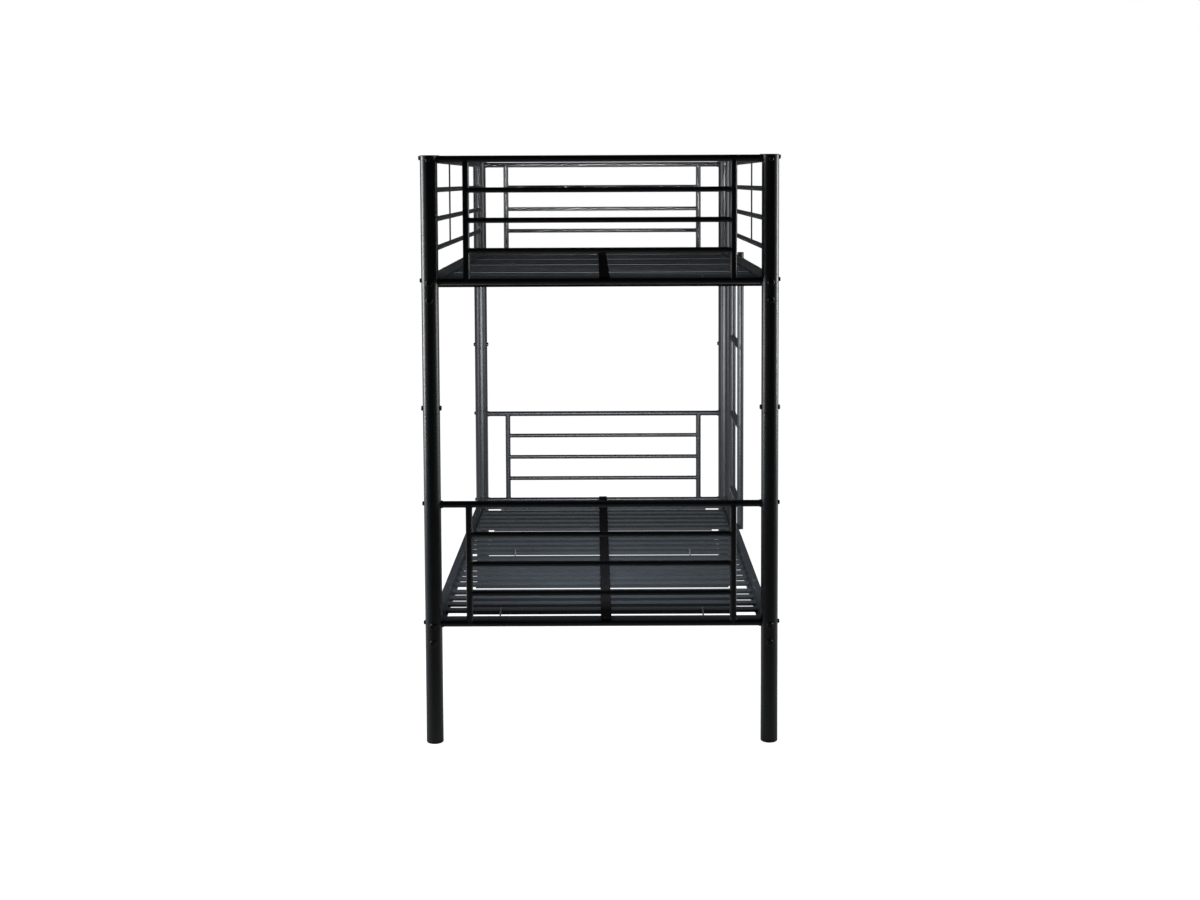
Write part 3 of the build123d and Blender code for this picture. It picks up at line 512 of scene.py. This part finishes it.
def copies_tree(name, sizes):
    """A Geometry Nodes tree with a geometry input and named size inputs, still unlinked."""
    group = bpy.data.node_groups.new(name, "GeometryNodeTree")
    group.interface.new_socket("Geometry", in_out="INPUT", socket_type="NodeSocketGeometry")
    for size in sizes:
        group.interface.new_socket(size, in_out="INPUT", socket_type="NodeSocketFloat")
    group.interface.new_socket("Geometry", in_out="OUTPUT", socket_type="NodeSocketGeometry")
    return group, group.nodes.new("NodeGroupInput"), group.nodes.new("NodeGroupOutput")


def end_tree(group, start, finish, form, paint):
    """Puts the form on each spot, turned as the spot says, and makes it plain mesh."""
    turn = group.nodes.new("GeometryNodeInputNamedAttribute")
    turn.data_type = "FLOAT_VECTOR"
    turn.inputs["Name"].default_value = "turn"
    smooth = group.nodes.new("GeometryNodeSetShadeSmooth")
    placed = group.nodes.new("GeometryNodeInstanceOnPoints")
    real = group.nodes.new("GeometryNodeRealizeInstances")
    painted = group.nodes.new("GeometryNodeSetMaterial")
    painted.inputs["Material"].default_value = paint
    turned = next(socket for socket in turn.outputs if socket.enabled)
    group.links.new(form, smooth.inputs["Geometry"])
    group.links.new(start.outputs["Geometry"], placed.inputs["Points"])
    group.links.new(smooth.outputs["Geometry"], placed.inputs["Instance"])
    group.links.new(turned, placed.inputs["Rotation"])
    group.links.new(placed.outputs["Instances"], real.inputs["Geometry"])
    group.links.new(real.outputs["Geometry"], painted.inputs["Geometry"])
    group.links.new(painted.outputs["Geometry"], finish.inputs["Geometry"])


def copies(name, group, sizes, spots):
    """One plain mesh of a tree's form on every spot; a spot is a place and three axes."""
    mesh = bpy.data.meshes.new(name)
    mesh.from_pydata([place for place, _ in spots], [], [])
    turn = mesh.attributes.new("turn", "FLOAT_VECTOR", "POINT")
    for index, (_, axes) in enumerate(spots):
        turn.data[index].vector = Matrix(axes).transposed().to_euler()
    piece = bpy.data.objects.new(name, mesh)
    scene.collection.objects.link(piece)
    modifier = piece.modifiers.new("copies", "NODES")
    modifier.node_group = group
    for item in group.interface.items_tree:
        if item.in_out == "INPUT" and item.name in sizes:
            modifier[item.identifier] = sizes[item.name]
    evaluated = piece.evaluated_get(bpy.context.evaluated_depsgraph_get())
    plain = bpy.data.meshes.new_from_object(evaluated)
    piece.modifiers.clear()
    piece.data = plain
    return piece


# A stitch is a small ball, stretched to the stitch's length and the thread's thickness.
stitch_segments, stitch_rings = 8, 5
stitch_tree, start, finish = copies_tree("stitches", ("Stitch Length", "Thread"))
ball = stitch_tree.nodes.new("GeometryNodeMeshUVSphere")
ball.inputs["Segments"].default_value = stitch_segments
ball.inputs["Rings"].default_value = stitch_rings
ball.inputs["Radius"].default_value = 1.0
ball_size = stitch_tree.nodes.new("ShaderNodeCombineXYZ")
halved = stitch_tree.nodes.new("ShaderNodeVectorMath")
halved.operation = "SCALE"
halved.inputs["Scale"].default_value = 0.5
stretched = stitch_tree.nodes.new("GeometryNodeTransform")
stitch_tree.links.new(start.outputs["Stitch Length"], ball_size.inputs["X"])
stitch_tree.links.new(start.outputs["Thread"], ball_size.inputs["Y"])
stitch_tree.links.new(start.outputs["Thread"], ball_size.inputs["Z"])
stitch_tree.links.new(ball_size.outputs[0], halved.inputs[0])
stitch_tree.links.new(ball.outputs["Mesh"], stretched.inputs["Geometry"])
stitch_tree.links.new(halved.outputs[0], stretched.inputs["Scale"])
end_tree(stitch_tree, start, finish, stretched.outputs["Geometry"], sewing_thread)

stitch_sizes = {"Stitch Length": 0.0028, "Thread": 0.0007}
stitch_count = 8
stitch_pitch = 0.0036
stitch_rows = (0.005, 0.019)     # from the fold

for level in ("lower", "upper"):
    side_view, over_rail = strap_side_view(level)
    strap, strap_length = webbing(f"strap_webbing_{level}",
                                  [strap_place(y, z) for y, z in side_view])
    strap.data.materials.append(woven_black)
    spots = []
    sewn = offset_line(over_rail, hem_step + strap_thickness / 2)
    for row in stitch_rows:
        (back_y, back_z), (y, z) = last_part(sewn, row)[-2:]
        along = Vector((0.0, back_y - y, back_z - z)).normalized()
        above = strap_across.cross(along)
        for number in range(stitch_count):
            across = (number - (stitch_count - 1) / 2) * stitch_pitch
            for end in (1, -1):
                place = strap_place(y * end, z) + strap_across * across
                flip = Vector((1.0, end, 1.0))
                axes = (strap_across, along * end * flip, above * flip)
                spots.append((place, axes))
    stitches = copies(f"strap_stitches_{level}", stitch_tree, stitch_sizes, spots)
    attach(strap, "root")
    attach(stitches, "root")
    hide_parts(f"strap_{level}")


# ======================================================================================
# Guards: a top rail, two uprights and three thin bars of round steel tube, welded up, with
# flat strips as spacers. The right one stops short, to leave the way in.
# ======================================================================================
dress(powder_coat, "guard_")


# ======================================================================================
# Weld beads: where one tube of a panel or guard ends on another, a small fillet of weld
# runs round the joint, under the coating.
# ======================================================================================
# The ring lies on the tube it is welded to: each point is lifted to that tube's surface.
weld_ring_points, weld_profile_points = 32, 6
weld_tree, start, finish = copies_tree(
    "weld_beads", ("Bar Radius", "Tube Radius", "Bead Radius"))
ring = weld_tree.nodes.new("GeometryNodeCurvePrimitiveCircle")
ring.inputs["Resolution"].default_value = weld_ring_points
ring_place = weld_tree.nodes.new("GeometryNodeInputPosition")
ring_split = weld_tree.nodes.new("ShaderNodeSeparateXYZ")
across_squared = math_node(weld_tree, "MULTIPLY", ring_split.outputs["X"],
                           ring_split.outputs["X"])
tube_squared = math_node(weld_tree, "MULTIPLY", start.outputs["Tube Radius"],
                         start.outputs["Tube Radius"])
height_squared = math_node(weld_tree, "SUBTRACT", tube_squared, across_squared)
height_squared = math_node(weld_tree, "MAXIMUM", height_squared, 0.0)
saddle_height = math_node(weld_tree, "SQRT", height_squared)
saddle_lift = weld_tree.nodes.new("ShaderNodeCombineXYZ")
saddle = weld_tree.nodes.new("GeometryNodeSetPosition")
bead_profile = weld_tree.nodes.new("GeometryNodeCurvePrimitiveCircle")
bead_profile.inputs["Resolution"].default_value = weld_profile_points
bead_mesh = weld_tree.nodes.new("GeometryNodeCurveToMesh")
weld_tree.links.new(start.outputs["Bar Radius"], ring.inputs["Radius"])
weld_tree.links.new(start.outputs["Bead Radius"], bead_profile.inputs["Radius"])
weld_tree.links.new(ring_place.outputs[0], ring_split.inputs[0])
weld_tree.links.new(saddle_height, saddle_lift.inputs["Z"])
weld_tree.links.new(ring.outputs["Curve"], saddle.inputs["Geometry"])
weld_tree.links.new(saddle_lift.outputs[0], saddle.inputs["Offset"])
weld_tree.links.new(saddle.outputs["Geometry"], bead_mesh.inputs["Curve"])
weld_tree.links.new(bead_profile.outputs["Curve"], bead_mesh.inputs["Profile Curve"])
end_tree(weld_tree, start, finish, bead_mesh.outputs["Mesh"], powder_coat)


def outer_lines(node, axis):
    """Where the centre lines of a node's two outermost tubes lie on an axis."""
    low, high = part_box(node)
    radius = bar_radius if "bars" in node else end_rail_radius
    return getattr(low, axis) + radius, getattr(high, axis) - radius


def joint(place, direction, tube_axis):
    """A weld's spot: its place on the tube's centre line and its three axes."""
    out, tube = Vector(direction), Vector(tube_axis)
    return Vector(place), (tube.cross(out), tube, out)


bar_low, bar_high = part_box("foot_lower_bars")
bar_radius = (bar_high.y - bar_low.y) / 2
bar_joints = []
rail_joints = []
for end in ("foot", "head"):
    for level in ("lower", "upper"):
        panel = f"{end}_{level}"
        low_bar, high_bar = outer_lines(f"{panel}_bars", "z")
        panel_y = sum(outer_lines(f"{panel}_bars", "y")) / 2
        deck_rail_z = outer_lines(f"{panel}_deck_rail", "z")[0]
        top_rail_z = outer_lines(f"{panel}_top_rail", "z")[0]
        for x, inward in zip(outer_lines(f"{panel}_uprights", "x"), (1, -1)):
            for z in (low_bar, (low_bar + high_bar) / 2, high_bar):
                bar_joints.append(joint((x, panel_y, z), (inward, 0, 0), (0, 0, 1)))
            rail_joints.append(joint((x, panel_y, deck_rail_z), (0, 0, 1), (1, 0, 0)))
            rail_joints.append(joint((x, panel_y, top_rail_z), (0, 0, -1), (1, 0, 0)))
for side in ("left", "right"):
    low_bar, high_bar = outer_lines(f"guard_{side}_bars", "z")
    guard_x = sum(outer_lines(f"guard_{side}_bars", "x")) / 2
    guard_rail_z = outer_lines(f"guard_{side}_rail", "z")[0]
    for y, inward in zip(outer_lines(f"guard_{side}_uprights", "y"), (1, -1)):
        for z in (low_bar, (low_bar + high_bar) / 2, high_bar):
            bar_joints.append(joint((guard_x, y, z), (0, inward, 0), (0, 0, 1)))
        rail_joints.append(joint((guard_x, y, guard_rail_z), (0, 0, -1), (0, 1, 0)))

weld_size = 0.0013
for name, spots, radius in (("bar_welds", bar_joints, bar_radius),
                            ("upright_welds", rail_joints, end_rail_radius)):
    sizes = {"Bar Radius": radius, "Tube Radius": end_rail_radius, "Bead Radius": weld_size}
    welds = copies(name, weld_tree, sizes, spots)
    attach(welds, "root")


# ======================================================================================
# Ladder: two stiles and three rungs of thicker round tube, bolted to each other and to
# both right side rails with black socket bolts.
# ======================================================================================
dress(powder_coat, "ladder_stile", "ladder_rungs")
dress(black_steel, "ladder_bolts")


# ======================================================================================
# Post joint bolts: a black bolt and its sleeve nut, through each post's upper joint. They
# hold the upper and middle tubes on the joiner inside them.
# ======================================================================================
dress(black_steel, "joint_bolts", "joint_sleeve_nuts")


# ======================================================================================
# Hole plugs and tube caps: black plastic, pushed into the spare holes of the side rails
# and one post, and into the open ends of the ladder's stiles and the short guard's rail.
# ======================================================================================
dress(moulded_black, "hole_plugs", "tube_end_caps")
